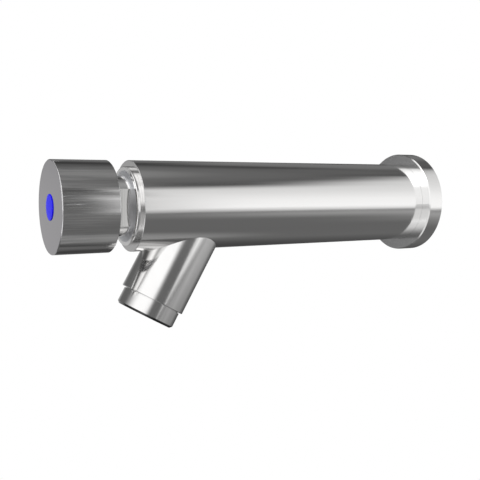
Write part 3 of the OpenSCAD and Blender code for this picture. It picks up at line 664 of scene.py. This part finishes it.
# Painted reflection: the cone's blue grey colour, lighter from the boss out to the rim, stands in
# for what the cone reflects.
painted_cone_reflection = mix_colours(tree, cone_rim, painted_reflection_at_boss, painted_reflection_at_rim)
shade = mix_colours(tree, on_cone, shade, painted_cone_reflection)
shade = mix_colours(tree, edge_wear_and_highlight["Mask"], shade, worn_bonnet)
polish = fade(tree, rings["Lines"], noise_low, noise_high, 0.12, 0.18)
satin_cone = maths(tree, "MULTIPLY", on_cone, 0.35)
glossy_flat = maths(tree, "MULTIPLY", on_flat, 0.08)
rough = maths(tree, "ADD", polish, maths(tree, "SUBTRACT", satin_cone, glossy_flat))
turned_lines = maths(tree, "MULTIPLY", rings["Lines"], 0.15)
height = add_node(tree, "ShaderNodeMix", {0: on_flat, 2: turned_lines, 3: milled}).outputs[0]
finish_surface(tree, shader, shade, rough, {
    "Height": height, "Normal": edge_wear_and_highlight["Normal"],
    "Strength": 0.12, "Distance": steel_relief}, metallic=1.0)
dress(bonnet_steel, "bonnet")
dress(seal_rubber, "bonnet_o_ring", "stem_wiper", "stem_o_ring")
dress(acetal, "stem_bush")
dress(turned_steel, "gland_washer")

# Cartridge: a brass cage with the valve's steel seat and the acetal timing cup, whose
# pressed in brass jet lets the water back slowly.
dress(brass, "cartridge_cage", "timing_jet")
dress(turned_steel, "valve_seat")
dress(acetal, "timing_cup")
dress(seal_rubber, "cage_o_ring")

# Moving valve: an acetal piston with its lip seal, the rubber washer that closes the
# seat, the plate that holds it, and the steel spindle that the knob pushes.
dress(acetal, "piston")
dress(seal_rubber, "piston_lip_seal", "valve_washer")
dress(turned_steel, "washer_plate", "spindle")

# Return spring: wound from one round wire with its end turns drawn close, standing in
# the cup and shortening as the knob is pushed.
spring_wire = 1.3
spring_coil = 13.4
spring_rear, spring_front = 90.35, 110.25
spring_turns = 7
spring_end_pitch = 1.75
coil_spring, given, result = new_group("coil_spring", [
    ("Coil", "NodeSocketFloat", None), ("Wire", "NodeSocketFloat", None),
    ("Turns", "NodeSocketFloat", None), ("End Pitch", "NodeSocketFloat", None),
    ("Length", "NodeSocketFloat", None), ("Material", "NodeSocketMaterial", None),
], [("Geometry", "NodeSocketGeometry")], kind="GeometryNodeTree")
coil_radius = maths(coil_spring, "MULTIPLY", given["Coil"], 0.5)
run = maths(coil_spring, "SUBTRACT", given["Length"], given["Wire"])
even_coil = add_node(coil_spring, "GeometryNodeCurveSpiral", {
    "Resolution": 30, "Rotations": given["Turns"],
    "Start Radius": coil_radius, "End Radius": coil_radius, "Height": run})
parts = separate(coil_spring, add_node(coil_spring, "GeometryNodeInputPosition").outputs[0])
risen = maths(coil_spring, "DIVIDE", parts["Z"], run)
turn = maths(coil_spring, "MULTIPLY", risen, given["Turns"])
middle_turns = maths(coil_spring, "SUBTRACT", given["Turns"], 2.0)
last_turn = maths(coil_spring, "SUBTRACT", given["Turns"], 1.0)
both_ends = maths(coil_spring, "MULTIPLY", given["End Pitch"], 2.0)
open_run = maths(coil_spring, "SUBTRACT", run, both_ends)
open_pitch = maths(coil_spring, "DIVIDE", open_run, middle_turns)
past_last = maths(coil_spring, "SUBTRACT", turn, last_turn)
end_turns = maths(
    coil_spring, "ADD", maths(coil_spring, "MINIMUM", turn, 1.0),
    maths(coil_spring, "MAXIMUM", past_last, 0.0))
past_first = maths(coil_spring, "MAXIMUM", maths(coil_spring, "SUBTRACT", turn, 1.0), 0.0)
open_turns = maths(coil_spring, "MINIMUM", past_first, middle_turns)
height = maths(
    coil_spring, "ADD", maths(coil_spring, "MULTIPLY", end_turns, given["End Pitch"]),
    maths(coil_spring, "MULTIPLY", open_turns, open_pitch))
risen_place = add_node(coil_spring, "ShaderNodeCombineXYZ", {
    0: parts["X"], 1: parts["Y"], 2: height})
drawn = add_node(coil_spring, "GeometryNodeSetPosition", {
    "Geometry": even_coil.outputs[0], "Position": risen_place.outputs[0]})
coiled_wire = swept_wire(coil_spring, drawn.outputs[0], given["Wire"], sides=12)
hand_out(coil_spring, coiled_wire, given["Material"], result)
spring_start = Matrix.Translation((0, -(spring_rear + spring_wire / 2) * MM, 0))
spring_place = spring_start @ Matrix.Rotation(math.pi / 2, 4, "X")
wound_spring = grow("wound_spring", coil_spring, {
    "Coil": spring_coil * MM, "Wire": spring_wire * MM, "Turns": float(spring_turns),
    "End Pitch": spring_end_pitch * MM, "Length": (spring_front - spring_rear) * MM,
    "Material": screw_steel,
}, spring_place, smooth_angle=math.radians(50))
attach(wound_spring, "tap_body")
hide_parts("return_spring")
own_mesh(wound_spring)

# Push knob: turned from steel bar and bored to slide over the boss. Its side is brushed
# along the axis, its face is faced off in fine rings, and the rest is left as turned.
brushed_steel, tree, shader = new_material("brushed_steel")
place = object_place(tree)
parts = separate(tree, place)
knob_rear, knob_front, front_streaks_start = -0.171, -0.1951, -0.184
side_inside, side_outside = 0.0196, 0.0198
face_starts, face_front = -0.1948, -0.195
streak_starts, full_streak = 0.36, 0.66
front_streak_starts, full_front_streak = 0.58, 0.68
streak_at_rear, streak_growth = 0.35, 0.65
brushed_light, brushed_dark = (0.62, 0.615, 0.61, 1), (0.42, 0.418, 0.42, 1)
painted_scratch_highlight, faced_off = (0.9, 0.9, 0.9, 1), (0.46, 0.447, 0.465, 1)
painted_edge_highlight = (0.85, 0.85, 0.85, 1)
brushed_relief = 0.00003
on_side = fade(tree, axis_distance(tree, parts), side_inside, side_outside)
on_face = fade(tree, parts["Y"], face_starts, face_front)
towards_front = fade(tree, parts["Y"], knob_rear, knob_front)
fine = add_node(tree, "ShaderNodeGroup", {
    "Vector": place, "Across": 1900.0, "Along": 14.0}, node_tree=drawn_grain).outputs["Lines"]
broad = add_node(tree, "ShaderNodeGroup", {
    "Vector": place, "Across": 620.0, "Along": 26.0}, node_tree=drawn_grain).outputs["Lines"]
rings = add_node(tree, "ShaderNodeGroup", {
    "Vector": place, "Rings": 7000.0}, node_tree=turned_grain).outputs["Lines"]
edge_wear_and_highlight = add_node(tree, "ShaderNodeGroup", {"Reach": 0.0003}, node_tree=edge_wear_and_painted_highlight).outputs
streak = fade(tree, broad, streak_starts, full_streak)
near_front = fade(tree, parts["Y"], front_streaks_start, knob_front)
# Near the front the broad streaks are painted near white, a painted highlight for the light lines
# there, and made rougher as real scratches.
front_scratch_and_highlight = maths(
    tree, "MULTIPLY", fade(tree, broad, front_streak_starts, full_front_streak),
    maths(tree, "MULTIPLY", on_side, near_front))
growth = maths(tree, "MULTIPLY", towards_front, streak_growth)
grown_streak = maths(tree, "ADD", streak_at_rear, growth)
streak_depth = maths(tree, "MULTIPLY", on_side, grown_streak)
dark_streak = maths(tree, "MULTIPLY", streak, streak_depth)
shade = mix_colours(tree, dark_streak, brushed_light, brushed_dark)
# Painted highlight on the front streaks.
shade = mix_colours(tree, front_scratch_and_highlight, shade, painted_scratch_highlight)
shade = mix_colours(tree, on_face, shade, faced_off)
# Painted highlight: near white on the knob's edges stands in for the bright line of light along its
# front edge.
shade = mix_colours(tree, edge_wear_and_highlight["Mask"], shade, painted_edge_highlight)
side_rough = fade(tree, fine, noise_low, noise_high, 0.06, 0.15)
left_turned = maths(tree, "SUBTRACT", 1.0, maths(tree, "MAXIMUM", on_side, on_face))
scattered = maths(
    tree, "ADD", maths(tree, "MULTIPLY", left_turned, 0.1),
    maths(tree, "MULTIPLY", front_scratch_and_highlight, 0.45))
rough = maths(tree, "ADD", side_rough, scattered)
brush_lines = maths(tree, "ADD", maths(tree, "MULTIPLY", fine, 0.4), broad)
turned_lines = maths(tree, "MULTIPLY", rings, 0.08)
height = add_node(tree, "ShaderNodeMix", {0: on_side, 2: turned_lines, 3: brush_lines}).outputs[0]
finish_surface(tree, shader, shade, rough, {
    "Height": height, "Normal": edge_wear_and_highlight["Normal"],
    "Strength": 0.9, "Distance": brushed_relief}, metallic=1.0)
dress(brushed_steel, "push_knob")
dress(screw_steel, "knob_screw")

# Indicator disc: a glossy blue plastic plug, slightly domed, pressed into the recess over
# the knob's screw.
blue_gloss = moulded(
    "blue_gloss", colour=(0.012, 0.006, 1.0), roughness=0.35, speckle=0.0, bump=0.02,
    specular=0.1, coat=0.03)
dress(blue_gloss, "indicator_disc")
